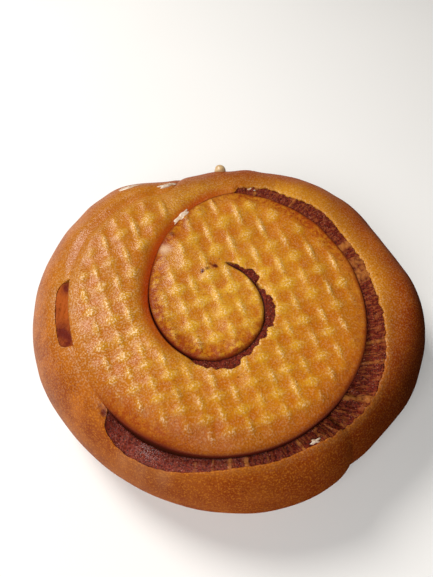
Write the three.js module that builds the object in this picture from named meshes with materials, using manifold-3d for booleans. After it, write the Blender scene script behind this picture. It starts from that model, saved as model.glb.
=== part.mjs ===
// Cinnamon roll: a strip of sweet dough rolled up round a cinnamon filling and baked into a flat-topped bun.
// The top carries the imprint of a woven baking mat. Millimetres, +Z up, origin at the middle of the base.
import * as THREE from 'three';
import { mergeVertices } from 'three/addons/utils/BufferGeometryUtils.js';
import Module from 'manifold-3d';

// Bun: the widest ring's radius every 22.5 degrees, turning from +X towards +Y
const RIM_RADII = [55.5, 53.5, 55, 53.5, 51.5, 51, 57, 56.5, 55.5, 54, 52, 51.5, 52, 52.5, 51.5, 54.5];
const HEIGHT = 34; // base to the flat top
const WIDEST_HEIGHT = 14; // base to the widest ring
const SHOULDER_RUN = 18; // widest ring in to the flat top
const FOOT_RUN = 14; // radius of the curve under the widest ring
const SHOULDER_ANGLE = 45; // where the top passes into the side, degrees above the widest ring
const FOOT_ANGLE = -70; // where the side meets the base
const SIDE_RINGS = 6;

// Woven imprint
const THREAD_PITCH = 4.5;
const THREAD_TURN = 20; // first thread direction from +X, degrees
const IMPRINT_HEIGHT = 0.45;
const IMPRINT_FADE = 5; // distance over which the imprint dies out towards the outer wrap
const GRID_CELLS = 40; // two cells to a thread
const GRID_STRAIGHT = 22; // half size of the square in which the grid is not bent to the rim

// Seam between the turns: a chain of arcs that starts near the middle and turns clockwise
const SEAM_START = [-0.9, 5.6];
const SEAM_HEADING = -23; // degrees from +X
const SEAM_ARCS = [
  // radius, sweep in degrees
  [16, 69],
  [13, 129],
  [22.5, 44],
  [37, 50],
  [19, 70],
  [39, 76],
  [36.5, 136],
  [53.5, 32],
  [31.5, 73],
];
const TAIL_ARCS = [
  // the loose end of the strip: the seam turns left and leaves through the side
  [-6, 60],
  [-200, 5],
];
const SEAM_STEP = 2.4;
const SPIRAL_POLE = [-5, -6.5]; // the turns run round this point

// Gapes, where the outer turn has pulled away and the filling shows
const GAPES = [
  // distance along the seam, width
  [0, 0],
  [4, 0.7],
  [7, 2.6],
  [11, 0.8],
  [17, 2.5],
  [25, 1.2],
  [35, 2.5],
  [41, 1.8],
  [45, 0],
  [111, 0],
  [113, 2.4],
  [121, 3.9],
  [126, 3.3],
  [135, 4.3],
  [148, 3.2],
  [161, 3.1],
  [184, 5.6],
  [210, 2.2],
  [219, 1.8],
  [243, 4.2],
  [249, 3.4],
  [252, 0],
  [269, 0],
  [273, 3.6],
  [279, 4.4],
  [287, 3.2],
  [289, 0],
  [400, 0],
];

// Step beside the long gapes, where the outer wrap lies lower than the turns inside it
const STEP_MIDDLE = 181; // along the seam
const STEP_HALF_LENGTH = 95;
const STEP_DROP = 1.8;
const STEP_EDGE = 2.5; // distance from the seam at which the drop is full
const STEP_RUN = 14; // and at which the wrap has risen again

// Filling
const LAYER = 0.5; // thickness between closed turns
const CLEARANCE = 0.3; // to the dough on both sides
const LEDGE_DEPTH = 5; // the wide part of a gape goes this deep
const NECK_DEPTH = 10; // and has closed to the bare layer here
const RECESS = 1.2; // filling below the dough's surface
const FILLING_BASE = 0.3; // its lower edge over the base
const CUT_OVERRUN = 3; // the slot for it is cut this far past the base and the top

// Dough bead baked on to the back of the rim
const BEAD_RADIUS = 1.8;
const BEAD_ANGLE = 92.5; // round the bun, degrees
const BEAD_RISE = 50; // up the shoulder, degrees
const BEAD_LIFT = 0.6; // of its middle over the crust

const CRUST = { color: 0xc8801f, roughness: 0.4, metalness: 0 };
const CINNAMON = { color: 0x4a1a10, roughness: 0.7, metalness: 0 };

const { clamp, degToRad, euclideanModulo, lerp, smoothstep } = THREE.MathUtils;
const FULL_TURN = 2 * Math.PI;
const wasm = await Module();
wasm.setup();

// Catmull-Rom interpolation of the rim radii
function rimRadius(angle) {
  const count = RIM_RADII.length;
  const place = (euclideanModulo(angle, FULL_TURN) / FULL_TURN) * count;
  const first = Math.floor(place);
  const t = place - first;
  const [a, b, c, d] = [-1, 0, 1, 2].map((k) => RIM_RADII[euclideanModulo(first + k, count)]);
  const square = (2 * a - 5 * b + 4 * c - d) * t * t;
  const cube = (3 * b - a - 3 * c + d) * t * t * t;
  return 0.5 * (2 * b + (c - a) * t + square + cube);
}

// Points along the seam with the unit normal that points to the outer turn and the distance from the start
function traceSeam(arcs) {
  const stations = [];
  let [x, y] = SEAM_START;
  let heading = degToRad(SEAM_HEADING);
  let along = 0;
  for (const [radius, sweep] of arcs) {
    const length = Math.abs(radius) * degToRad(sweep);
    const turn = -length / radius;
    const centreX = x + radius * Math.sin(heading);
    const centreY = y - radius * Math.cos(heading);
    const steps = Math.ceil(length / SEAM_STEP);
    for (let k = stations.length ? 1 : 0; k <= steps; k++) {
      const h = heading + (turn * k) / steps;
      stations.push({
        x: centreX - radius * Math.sin(h),
        y: centreY + radius * Math.cos(h),
        normal: [-Math.sin(h), Math.cos(h)],
        along: along + (length * k) / steps,
      });
    }
    heading += turn;
    along += length;
    x = centreX - radius * Math.sin(heading);
    y = centreY + radius * Math.cos(heading);
  }
  return stations;
}

function bell(distance, halfLength) {
  const t = Math.min(Math.abs(distance) / halfLength, 1);
  return 0.5 + 0.5 * Math.cos(Math.PI * t);
}

// Width of the filling at the top, at a distance along the seam
function fillingWidth(along) {
  const next = Math.max(1, GAPES.findIndex(([place]) => place >= along));
  const [[from, width], [to, nextWidth]] = [GAPES[next - 1], GAPES[next]];
  return LAYER + lerp(width, nextWidth, smoothstep(along, from, to));
}

const ROLLED_SEAM = traceSeam(SEAM_ARCS);
const WHOLE_SEAM = traceSeam([...SEAM_ARCS, ...TAIL_ARCS]);

// The seam in polar form: distance from the pole by clockwise angle, unwound over its turns
function unwindSeam() {
  let angle = -Infinity;
  return ROLLED_SEAM.map(({ x, y, along }) => {
    const [dx, dy] = [x - SPIRAL_POLE[0], y - SPIRAL_POLE[1]];
    const plain = -Math.atan2(dy, dx);
    angle = angle === -Infinity ? plain : plain + FULL_TURN * Math.round((angle - plain) / FULL_TURN);
    return { angle, radius: Math.hypot(dx, dy), along };
  });
}

const UNWOUND = unwindSeam();

// Where the outer wrap's seam crosses the ray from the pole through a point
function wrapAt(x, y) {
  const plain = -Math.atan2(y - SPIRAL_POLE[1], x - SPIRAL_POLE[0]);
  const turns = Math.floor((UNWOUND.at(-1).angle - plain) / FULL_TURN);
  const angle = plain + FULL_TURN * turns;
  const next = Math.max(1, UNWOUND.findIndex((entry) => entry.angle >= angle));
  const [from, to] = [UNWOUND[next - 1], UNWOUND[next]];
  const t = (angle - from.angle) / (to.angle - from.angle);
  return { radius: lerp(from.radius, to.radius, t), along: lerp(from.along, to.along, t) };
}

// Height of the dough's top over the base
function topHeight(x, y) {
  const inset = rimRadius(Math.atan2(y, x)) - Math.hypot(x, y);
  const run = clamp(1 - inset / SHOULDER_RUN, 0, 1);
  const crown = WIDEST_HEIGHT + (HEIGHT - WIDEST_HEIGHT) * Math.sqrt(1 - run * run);
  const wrap = wrapAt(x, y);
  const beyond = Math.hypot(x - SPIRAL_POLE[0], y - SPIRAL_POLE[1]) - wrap.radius;
  return crown + imprint(x, y) * (1 - smoothstep(beyond, -IMPRINT_FADE, 0)) - step(beyond, wrap.along);
}

// Raised where a thread of the mat let the dough through, lowered where two threads crossed
function imprint(x, y) {
  const turn = degToRad(THREAD_TURN);
  const u = x * Math.cos(turn) + y * Math.sin(turn);
  const v = y * Math.cos(turn) - x * Math.sin(turn);
  const wave = Math.PI / THREAD_PITCH;
  return IMPRINT_HEIGHT * Math.cos(u * wave) * Math.cos(v * wave);
}

// Drop of the outer wrap at a distance beyond its seam
function step(beyond, along) {
  const fall = smoothstep(beyond, 0, STEP_EDGE) - smoothstep(beyond, STEP_EDGE, STEP_RUN);
  return STEP_DROP * fall * bell(along - STEP_MIDDLE, STEP_HALF_LENGTH);
}

function makeGeometry(points, triangles) {
  const geometry = new THREE.BufferGeometry();
  geometry.setAttribute('position', new THREE.Float32BufferAttribute(points.flat(), 3));
  geometry.setIndex(triangles.flat());
  return geometry;
}

// Point of the top at a place in the square grid, bent from a square to the rim's outline
function gridPoint(column, row) {
  const half = (GRID_CELLS * THREAD_PITCH) / 4;
  const u = lerp(-half, half, column / GRID_CELLS);
  const v = lerp(-half, half, row / GRID_CELLS);
  const reach = Math.max(Math.abs(u), Math.abs(v));
  const angle = Math.atan2(v, u) + degToRad(THREAD_TURN);
  const edge = rimRadius(angle) - SHOULDER_RUN * (1 - Math.cos(degToRad(SHOULDER_ANGLE)));
  const bent = smoothstep(reach, GRID_STRAIGHT, half);
  const radius = lerp(Math.hypot(u, v), (edge * reach) / half, bent);
  const x = radius * Math.cos(angle);
  const y = radius * Math.sin(angle);
  return [x, y, topHeight(x, y)];
}

// Point of the side at an angle round the bun and an angle up its profile
function sidePoint(angle, rise) {
  const run = rise > 0 ? SHOULDER_RUN : FOOT_RUN;
  const radius = rimRadius(angle) - run * (1 - Math.cos(rise));
  const share = rise > 0 ? Math.sin(rise) : Math.sin(rise) / -Math.sin(degToRad(FOOT_ANGLE));
  const z = WIDEST_HEIGHT + share * (rise > 0 ? HEIGHT - WIDEST_HEIGHT : WIDEST_HEIGHT);
  return [radius * Math.cos(angle), radius * Math.sin(angle), z];
}

// The whole bun before the seam is cut: top grid, side rings and flat base
function bunGeometry() {
  const n = GRID_CELLS;
  const points = [];
  const triangles = [];
  for (let row = 0; row <= n; row++) {
    for (let column = 0; column <= n; column++) points.push(gridPoint(column, row));
  }
  const at = (column, row) => row * (n + 1) + column;
  for (let row = 0; row < n; row++) {
    for (let column = 0; column < n; column++) {
      const corners = [at(column, row), at(column + 1, row), at(column + 1, row + 1), at(column, row + 1)];
      const [a, b, c, d] = (row + column) % 2 ? corners : [...corners.slice(1), corners[0]];
      triangles.push([a, b, c], [a, c, d]);
    }
  }
  let ring = [];
  for (let k = 0; k < n; k++) ring.push(at(k, 0));
  for (let k = 0; k < n; k++) ring.push(at(n, k));
  for (let k = 0; k < n; k++) ring.push(at(n - k, n));
  for (let k = 0; k < n; k++) ring.push(at(0, n - k));
  const angles = ring.map((index) => Math.atan2(points[index][1], points[index][0]));
  for (let k = 1; k <= SIDE_RINGS; k++) {
    const rise = degToRad(lerp(SHOULDER_ANGLE, FOOT_ANGLE, k / SIDE_RINGS));
    const next = angles.map((angle) => points.push(sidePoint(angle, rise)) - 1);
    next.forEach((index, i) => {
      const j = (i + 1) % next.length;
      triangles.push([ring[i], index, next[j]], [ring[i], next[j], ring[j]]);
    });
    ring = next;
  }
  const middle = points.push([0, 0, 0]) - 1;
  ring.forEach((index, i) => triangles.push([middle, ring[(i + 1) % ring.length], index]));
  return makeGeometry(points, triangles);
}

// A band that follows the seam, with the filling's section grown by a clearance on both sides
function seamBand(stations, clearance, bottom, topOf) {
  const points = [];
  const triangles = [];
  const sides = 6;
  stations.forEach(({ x, y, normal, along }) => {
    const width = fillingWidth(along);
    const place = (out, z) => [x + normal[0] * out, y + normal[1] * out, z];
    const [outerX, outerY] = place(width, 0);
    const surface = topHeight(outerX, outerY);
    points.push(place(-clearance, bottom));
    points.push(place(LAYER + clearance, bottom));
    points.push(place(LAYER + clearance, surface - NECK_DEPTH - clearance));
    points.push(place(width + clearance, surface - LEDGE_DEPTH - clearance));
    points.push(place(width + clearance, topOf(surface)));
    points.push(place(-clearance, topOf(surface)));
  });
  for (let k = 0; k + 1 < stations.length; k++) {
    for (let i = 0; i < sides; i++) {
      const a = k * sides + i;
      const b = k * sides + ((i + 1) % sides);
      triangles.push([a, b, b + sides], [a, b + sides, a + sides]);
    }
  }
  const last = (stations.length - 1) * sides;
  const cap = [[0, 1, 2], [0, 2, 5], [2, 3, 4], [2, 4, 5]];
  for (const [a, b, c] of cap) triangles.push([a, c, b], [last + a, last + b, last + c]);
  return makeGeometry(points, triangles);
}

function toSolid(geometry) {
  const vertProperties = geometry.getAttribute('position').array;
  const triVerts = new Uint32Array(geometry.getIndex().array);
  return new wasm.Manifold(new wasm.Mesh({ numProp: 3, vertProperties, triVerts }));
}

function toGeometry(solid) {
  const { vertProperties, triVerts } = solid.getMesh();
  const geometry = new THREE.BufferGeometry();
  geometry.setAttribute('position', new THREE.BufferAttribute(vertProperties, 3));
  geometry.setIndex(new THREE.BufferAttribute(triVerts, 1));
  return geometry;
}

// The bead's ball, resting in the crust of the back shoulder
function beadGeometry() {
  const ball = new THREE.IcosahedronGeometry(BEAD_RADIUS, 1);
  ball.deleteAttribute('normal');
  ball.deleteAttribute('uv');
  const [x, y, z] = sidePoint(degToRad(BEAD_ANGLE), degToRad(BEAD_RISE));
  return mergeVertices(ball).translate(x, y, z + BEAD_LIFT);
}

function addMesh(group, name, geometry, finish) {
  geometry.computeVertexNormals();
  const mesh = new THREE.Mesh(geometry, new THREE.MeshStandardMaterial(finish));
  mesh.name = name;
  group.add(mesh);
}

const roll = new THREE.Group();
const slot = toSolid(seamBand(WHOLE_SEAM, CLEARANCE, -CUT_OVERRUN, () => HEIGHT + CUT_OVERRUN));
const dough = toSolid(bunGeometry()).add(toSolid(beadGeometry())).subtract(slot);
addMesh(roll, 'dough', toGeometry(dough), CRUST);
const filling = seamBand(ROLLED_SEAM.slice(1), 0, FILLING_BASE, (surface) => surface - RECESS);
addMesh(roll, 'filling', filling, CINNAMON);

export default roll;
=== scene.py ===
import math

import bpy
import numpy as np
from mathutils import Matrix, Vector
from mathutils.geometry import delaunay_2d_cdt


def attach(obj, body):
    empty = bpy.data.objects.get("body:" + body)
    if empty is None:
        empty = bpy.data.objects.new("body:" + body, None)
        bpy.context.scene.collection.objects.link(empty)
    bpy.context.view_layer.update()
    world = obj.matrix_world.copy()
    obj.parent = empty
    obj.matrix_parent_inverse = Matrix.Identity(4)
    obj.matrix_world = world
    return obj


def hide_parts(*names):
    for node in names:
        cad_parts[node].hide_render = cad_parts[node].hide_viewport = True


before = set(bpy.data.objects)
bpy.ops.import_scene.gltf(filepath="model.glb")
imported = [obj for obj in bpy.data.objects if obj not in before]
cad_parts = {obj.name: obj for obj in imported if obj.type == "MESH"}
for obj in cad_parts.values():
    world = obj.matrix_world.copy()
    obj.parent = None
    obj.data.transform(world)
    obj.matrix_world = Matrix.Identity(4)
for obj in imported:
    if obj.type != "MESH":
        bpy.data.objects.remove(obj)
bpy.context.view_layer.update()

# Cinnamon roll. Shapes are worked out in millimetres and turned into metres when a mesh is made.
MM = 0.001

# Bun: the widest ring's radius every 22.5 degrees, turning from +X towards +Y
RIM_RADII = np.array([55.5, 53.5, 55, 53.5, 51.5, 51, 57, 56.5, 55.5, 54, 52, 51.5, 52, 52.5, 51.5, 54.5])
HEIGHT = 34
WIDEST_HEIGHT = 14
SHOULDER_RUN = 18
FOOT_RUN = 14
TOP_RISE = math.radians(28)  # where the mesh of the top passes into that of the side
FOOT_ANGLE = math.radians(-70)
TOP_INSET = SHOULDER_RUN * (1 - math.cos(TOP_RISE))
TOP_SWELLS = [(0.28, 26, 21), (0.12, 11, 22)]  # unevenness of the top: rise, wavelength and seed
SIDE_SWELL = (0.07, 16, 71)
SWELL_FADE = 6  # the side's swell dies out within this distance of the slot

# Crease in the side where two lobes of the bun meet
CREASE_ANGLE = math.radians(-54)
CREASE_DEPTH = 0.9
CREASE_HALF = 6.5

# Bead of dough on the back shoulder
BEAD_RADIUS = 1.8
BEAD_ANGLE = math.radians(92.5)
BEAD_RISE = math.radians(50)
BEAD_LIFT = 0.6
BEAD_SIDES = 40
BEAD_RINGS = 20

# Seam between the turns: arcs of radius and sweep in degrees, turning clockwise from near the middle
SEAM_START = (-0.9, 5.6)
SEAM_HEADING = math.radians(-23)
SEAM_ARCS = [
    (16, 69), (13, 129), (22.5, 44), (37, 50), (19, 70), (39, 76), (36.5, 136), (53.5, 32), (31.5, 73),
]
TAIL_ARCS = [(-6, 60), (-200, 5)]
SEAM_STEP = 0.4
FIRST_TURN = 104  # beyond this the seam has the outer wrap on its outside
ROLLED_LENGTH = sum(radius * math.radians(sweep) for radius, sweep in SEAM_ARCS)
TURN_REACH = 30  # no point lies further inside its turn
TIP_REACH = 5  # beyond the seam's start, its lips die out within this distance
SLOT_SHARE = 0.3  # a point this share of the slot's width past a brink still belongs to it
LEDGE_DEPTH = 3.5
NECK_DEPTH = 10
FOOT_SHRINK = 0.11  # the turns draw together by this share towards the base
SHRINK_FROM = 0.75  # and start to at this share of the height
TAIL_ROUND = (2.6, 2.2)  # run and drop of the rounded loose end, then of the edge that it lies against
HEEL_ROUND = (1.4, 0.9)

# Along the seam, each row starting with the distance from its start
GAPES = np.array([  # width that the outer turn has pulled away
    (0, 0), (1, 0.6), (3, 0.85), (5.2, 0.8), (6.4, 2.2), (9.2, 2.1), (10.6, 0.15), (11.5, 0.3),
    (13.5, 1.2), (17.3, 2.4), (22.3, 1.9), (23.1, 0.9), (24.2, 1.5), (26, 1.1), (29.6, 0.9),
    (30.4, 1.4), (33, 1.2), (33.8, 2.3), (35.2, 2.6), (38.4, 1.7), (41, 1.5), (45, 0), (111, 0),
    (113, 2.4), (121, 3.9), (126, 3.3), (135, 4.5), (148, 3.6), (161, 3.4), (173, 4.6), (184, 5.6),
    (210, 2.2), (219, 1.8), (243, 4.2), (247, 3.8), (249, 3.3), (250, 2.8), (250.5, 1.8), (250.9, 0.7),
    (251.3, 0), (400, 0),
])
EASED = 240  # up to here the gape is eased between those rows
PATCH = (279, 9.5, 3.4)  # one more gape with rounded ends: its middle, half length and width
PATCH_POWER = 8
LAYER = np.array([  # width of the bare layer
    (0, 0.1), (4, 0.3), (43, 0.4), (47, 0.22), (62, 0.22), (88, 0.2), (97, 0.35), (101, 0.35),
    (104, 0.3), (110, 0.25), (113, 0.3), (245, 0.3), (251, 0.06), (253, 0.02), (268, 0.02), (270, 0.2),
    (287, 0.2), (289, 0.02),
])
TORN_REACH = 2.2  # the torn edge shows this far into the outer turn
TORN_WAVES = [(1, 2.2, 11), (0.6, 1.1, 12)]  # its waves: rise, wavelength and seed
RAGGED = np.array([  # unevenness of the torn edge
    (0, 0.12), (12, 0.18), (45, 0.15), (112, 0.14), (150, 0.1), (165, 0.16), (195, 0.14), (205, 0.04),
    (265, 0.03),
])
INNER_LIP = np.array([  # run of the inner turn's edge, its drop, and how far it is a soft valley
    (0, 1, 0, 1), (1.5, 1.2, 0.35, 0.2), (3.5, 1.4, 0.6, 0), (6, 1.2, 0.5, 0), (10, 1.2, 0.8, 0),
    (40, 1.2, 0.9, 0), (48, 0.9, 0.45, 0), (100, 0.9, 0.4, 0), (105, 0.9, 0.4, 0.2),
    (110, 0.9, 0.4, 0.2), (114, 0.9, 0.45, 0), (135, 1.2, 0.7, 0), (155, 1.2, 0.8, 0),
    (195, 1.1, 0.8, 0), (240, 1.1, 0.75, 0), (249, 1.2, 0.7, 0), (254, 2.5, 0.35, 1),
    (266, 2.5, 0.3, 1), (271, 0.6, 0.4, 0.2), (286, 0.6, 0.4, 0.2), (291, 2, 0.4, 1), (300, 2, 0.8, 1),
    (328, 2, 1, 1), (334, 2, 0.6, 0.5),
])
OUTER_LIP = np.array([  # the same for the outer turn
    (0, 1, 0, 1), (3, 0.6, 0.25, 0.3), (10, 0.6, 0.4, 0), (40, 0.6, 0.4, 0), (46, 3.5, 1.2, 0.5),
    (60, 5, 1.9, 0.6), (95, 5, 1.8, 0.6), (104, 4, 0.9, 0.9), (110, 3, 0.6, 0.9), (114, 0.6, 0.3, 0),
    (249, 0.5, 0.3, 0), (254, 2.5, 0.35, 1), (266, 2.5, 0.3, 1), (271, 2.5, 0.6, 0.8),
    (286, 2.5, 0.6, 0.8), (291, 2.5, 0.4, 1), (300, 3.5, 0.8, 1), (328, 3.5, 1, 1), (334, 2, 0.6, 0.5),
])
TOAST = np.array([  # browning of the inner turn's edge: its brink, then the crust behind it
    (0, 0, 0), (18, 0.3, 0.2), (25, 0.9, 0.6), (32, 0.9, 0.8), (44, 0.9, 1), (52, 0.8, 0.9),
    (80, 0.7, 0.8), (84, 0.8, 0.9), (90, 0.8, 0.9), (95, 0.5, 0.5), (108, 0.5, 0.5), (113, 0.8, 0.9),
    (122, 0.8, 0.9), (128, 0.95, 1.3), (145, 0.95, 1.3), (151, 0.9, 0.6), (165, 0.9, 0.5),
    (190, 0.9, 0.5), (196, 0.8, 0.35), (206, 0.5, 0.3), (212, 0.35, 0.15), (230, 0.35, 0.15),
    (236, 0.9, 0.8), (248, 1, 0.9), (254, 0.3, 0.4), (262, 0, 0),
])
CREST = np.array([  # paleness of the outer turn's torn edge, and its reach
    (4, 0, 1.3), (8, 0.8, 1.3), (40, 0.8, 1.3), (46, 0, 1.3), (112, 0, 1.5), (118, 0.2, 1.5),
    (150, 0.3, 2), (165, 0.4, 2.2), (215, 0.25, 2), (240, 0.1, 1.5), (251, 0, 1.5),
])
VALLEY_SHADE = np.array([  # painted shade, red-orange, on the outer turn beside a closed seam
    (44, 0), (50, 0.7), (64, 1), (75, 1), (90, 0.9), (100, 0.9), (108, 0.6), (112, 0.4), (116, 0),
    (286, 0), (296, 0.3), (326, 0.4), (334, 0.2),
])
STAIN = np.array([  # how far the filling has stained the brinks
    (0, 0.3), (1, 0.9), (4, 1), (100, 1), (104, 0.9), (111, 0.9), (113, 1), (250, 1), (253, 0),
    (269, 0), (272, 0.6), (287, 0.6), (289, 0),
])

# Step beside the long gapes, where the outer wrap lies lower than the turns inside it
STEP_MIDDLE = 181
STEP_HALF_LENGTH = 95
STEP_DROP = 1.3
STEP_EDGE = 1.5
STEP_RUN = 14

# Woven imprint: plain weave, numbered in columns and rows by polynomials of the place over this length
WEAVE_UNIT = 40
WEAVE_COLUMN = (-0.02, 8.24, 2.79, -0.10, -0.84, -0.24)
WEAVE_ROW = (0.51, 3.41, -5.87, -0.24, -0.03, 1.85)
WEAVE_SEED = 5
WEAVE_REPEAT = 64  # its random draws come again after this many columns and rows
COLUMN_PITCH = 4.8
ROW_PITCH = 5.6
NARROW_BUMP = (0.38, 0.75, 2.4, -0.1)  # rise, half width, half length and shift up its column
BROAD_BUMP = (0.24, 2.1, 1.6, 0.4)
BUMP_SHARES = (0.6, 1.2)  # least and greatest share of that rise
BUMP_SHIFT = 0.06  # spread of their places, in pitches
COLUMN_RIDGE = (0.11, 1.1)  # rise and half width
ROW_RIDGE = (0.14, 1.4)
FULL_RELIEF = 0.5  # height of a broad bump where it lies on two ridges
LIP_FADES = ((0.0, 1.2), (0.8, 4.5))  # off a lip, where it starts and is whole: first turn, then others
VALLEY_FADE = (0.8, 4.5)  # the same beside a valley
VALLEY_STARTS = (40, 50)  # along the seam, where the valley's smooth side starts and ends
VALLEY_ENDS = (108, 114)

# Grades of the dough's mesh
FILL_SPACING = 0.46
EDGE_SPACING = 0.4
EDGE_ROWS = (0.08, 0.2, 0.4, 0.65, 1.0, 1.45, 2.0, 2.7, 3.4)
RIM_SPACING = 0.7
CORNER_SPACING = 0.25
CORNER_RUN = 3
ROWS = 12
ROW_POWER = 1.6  # the slot's rows crowd towards its brink
BASE_SPACING = 4.0
BASE_INSET = 12  # the base's inner points stay this far from the widest ring, and this far from the slot
BASE_CLEAR = 1.5
EXIT_RUN = 14
EXIT_COLUMNS = 26
EXIT_SAMPLES = 600
SHARP_EDGE = math.radians(65)
MERGE_DISTANCE = 1e-5
BATCH = 4000  # points measured against the seam at a time

# Filling: dough-coloured bridges across it, by middle along the seam, half width and strength
BRIDGES = [
    (117.3, 0.5, 0.6), (128.3, 0.4, 0.6), (147.5, 1, 0.9), (153, 1.5, 0.5), (157, 2.2, 0.6),
    (175.3, 0.5, 0.6), (178.2, 0.3, 0.5), (180.3, 0.4, 0.5), (188.8, 0.7, 0.8), (193, 0.3, 0.5),
    (196, 0.3, 0.5), (198.3, 0.3, 0.45), (201, 1, 0.35), (206, 0.3, 0.8), (213.5, 0.3, 0.5),
    (218, 0.5, 0.8), (221.5, 0.5, 0.7), (225, 0.3, 0.5), (228.8, 0.3, 0.45),
]
BRIDGE_FADE = 1.8  # a bridge fades out at this many half widths
BRIDGE_RISE = 0.25
FIBROUS = np.array([  # how far strands of dough show in the filling
    (0, 0), (112, 0.6), (140, 0.8), (160, 0.9), (200, 0.9), (215, 0.5), (235, 0.2), (250, 0.1),
])
BLOTCHES = [  # in the bare patch, by place along and across, reach and strength
    (273, 2, 6.5, 1.2), (276, 3, 2.5, 0.5), (287, 1.2, 3.2, 1), (280, 3.6, 4, 0.4),
]
MOIST = np.array([(205, 0), (222, 0.7), (232, 1), (251, 1), (262, 0)])  # where it is moist and redder
WET = (239.5, 1.4, 4)  # its wettest spot: place along and across, and reach
SPOT_SQUASH = 1.5  # such spots are narrower across the seam by this
SLANT = np.array([(150, 0), (170, 0.35), (190, 0.6), (205, 0.2), (215, 0)])  # lean of the bridges
RECESS = np.array([  # depth of the filling at the inner turn
    (0, 0.05), (5, 0.15), (12, 0.5), (45, 0.7), (64, 0.8), (110, 0.8), (113, 0.35), (135, 0.3),
    (155, 0.35), (195, 0.2), (215, -0.25), (249, -0.2), (256, 0.8), (270, 0.2), (288, 0.2), (295, 1),
])
EDGE_RECESS = 0.18  # depth at the outer turn, where the slot is open and where it is closed
CLOSED_RECESS = 1.0
RECESS_POWER = 0.7
OPENED = (0.4, 1.2)  # widths of a closed and of an open slot
RIB_HEIGHT = np.array([(0, 0.03), (112, 0.06), (140, 0.07), (195, 0.08), (225, 0.04), (250, 0.0)])
GRAIN_HEIGHT = 0.09
FILLING_START = 1.0
FILLING_BASE = 0.3
FILLING_OVERLAP = 0.06  # it reaches this far into the dough
FILLING_CELLS = 14
WALL_CELLS = 5
BARE_PATCH = (256, 266)  # along the seam, where the filling starts to be baked and bare
LIP_SHADOW_END = (240, 262)  # and where the painted shadow along its inner edge, under the inner turn's lip, ends
LIP_SHADOW_EDGE = (0.02, 0.38)  # that shadow's width: whole, then gone

# Tints of the crust. By direction in degrees, how russet and how dark its sides are: a deeper bake with
# painted shade, strongest on the right, away from the light
SIDES = np.array([
    (-180, 0.1, 0), (-135, 0.3, 0), (-112, 0.55, 0.1), (-90, 0.65, 0.1), (-60, 0.95, 0.6),
    (-30, 1, 0.95), (0, 1, 1), (25, 0.9, 0.8), (50, 0.8, 0.3), (90, 1, 0.32), (110, 0.8, 0.15),
    (135, 0.45, 0), (180, 0.1, 0),
])
SPOTS = [  # stains by place, radius and strength
    (-6.8, 2.2, 0.7, 1), (-6.7, 2.8, 0.6, 1), (-5.5, 3.2, 0.7, 0.9), (-4.7, 4.9, 0.5, 0.8),
    (-3.6, 4.4, 0.9, 1), (-3.1, 4.0, 0.6, 0.9), (-15.4, 14.8, 1.1, 0.7), (-28.5, -33.6, 1.1, 0.95),
    (-29.4, -32.3, 0.8, 0.5),
]
SPOT_CORE = 0.4  # share of a stain's radius where it is whole
SMEARS_AND_SHEEN = [(-16.9, 9.6, 2.6, 0.9), (-24, -42, 3.5, 0.1), (-20, -44, 4, 0.1), (-15, -46, 3.5, 0.1)]  # pale smears of icing, on the front-left rim partly painted sheen
GLOW = (1, -6, 30)  # place and radius of the most golden crust
PAINTED_SHEEN = (-30, -13, 29)  # and of the painted sheen: the crust with most painted glints of light
GLOSS_SIDE = math.radians(175)
GLOSS = (0.14, 0.22, 0.1, 0.14)  # all over, more at the glossiest side and at the back, and less at the rim
TAN_MATT = 0.7  # share of the gloss that tanned crust loses
LOOSE_END = (284, 300)  # along the seam, where the loose end starts and is browned
WRAP_BROWN = (0.5, 0.35)  # browning of the outer wrap, and how much more at the loose end
SHADED = (104, 24, 0.18)  # darker crust outside the inner turn: middle along the seam, half length, strength
DEEPENED = 0.45  # deeper amber at the left and right
LEFT_DEEPENED = (-8, -36)
RIGHT_DEEPENED = (6, 30)
LIP_DEEPENED = 0.12
STAIN_REACH = 0.28  # into a turn, and more by place along the seam, half length and extra reach
START_STAIN = (3.3, 3.2, 0.6)
BACK_STAIN = (104, 10, 0.4)
STAIN_SOFT = 0.14
WALL_SHADE_FADE = (242, 258, 0.8)  # along the seam, where the painted shade on the slot's sides starts to fade and where it ends, and by how much
WALL_SHADE_DEPTH = 2  # the painted shade on the slot's sides is whole from this depth down

# How far those tints reach from a lip or in from the rim: whole up to the first distance, gone at the second
BROWN_RIM = (4, 17)
RUSSET_AND_SHADE_RIM = (9, 19)
DARK_AND_SHADE_RIM = (2, 11)
MATT_RIM = (4, 14)
BROWN_WRAP = (0, 6)
PAINTED_SHEEN_RIM = (6, 1)
LIP_REACH = (1.5, 6)
TOAST_REACH = (0.2, 1.4)
TAN_REACH = (1.2, 5.5)
VALLEY_SHADE_REACH = (0.7, 3.9)
SHADED_REACH = (7, 16)
OUTER_STAIN = (0.05, 0.4)
STAINED_GAPE = (0.1, 0.6)
CREST_CORE = 0.2
DENT_RELIEF = (0.05, 0.65)  # heights of a dent and of what is none

# Colours of the crust
GOLDEN = (0.55, 0.255, 0.012, 1)
AMBER = (0.46, 0.178, 0.007, 1)
DEEP_AMBER = (0.40, 0.120, 0.006, 1)
DENTED = (0.43, 0.116, 0.002, 1)
# Buff: the torn edge's own paleness; on the narrow bumps partly painted highlight
BUFF_AND_HIGHLIGHT = (0.66, 0.36, 0.06, 1)
STRAW = (0.60, 0.31, 0.018, 1)
# Painted glints of light on the glaze's grain
PAINTED_GLINT = (0.94, 0.72, 0.46, 1)
BRIGHT = (0.62, 0.335, 0.022, 1)
# Grain of the rim, partly painted glints of light
RIM_GRAIN_AND_GLINT = (0.62, 0.22, 0.020, 1)
BROWN = (0.39, 0.110, 0.013, 1)
RUDDY = (0.23, 0.045, 0.005, 1)
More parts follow.
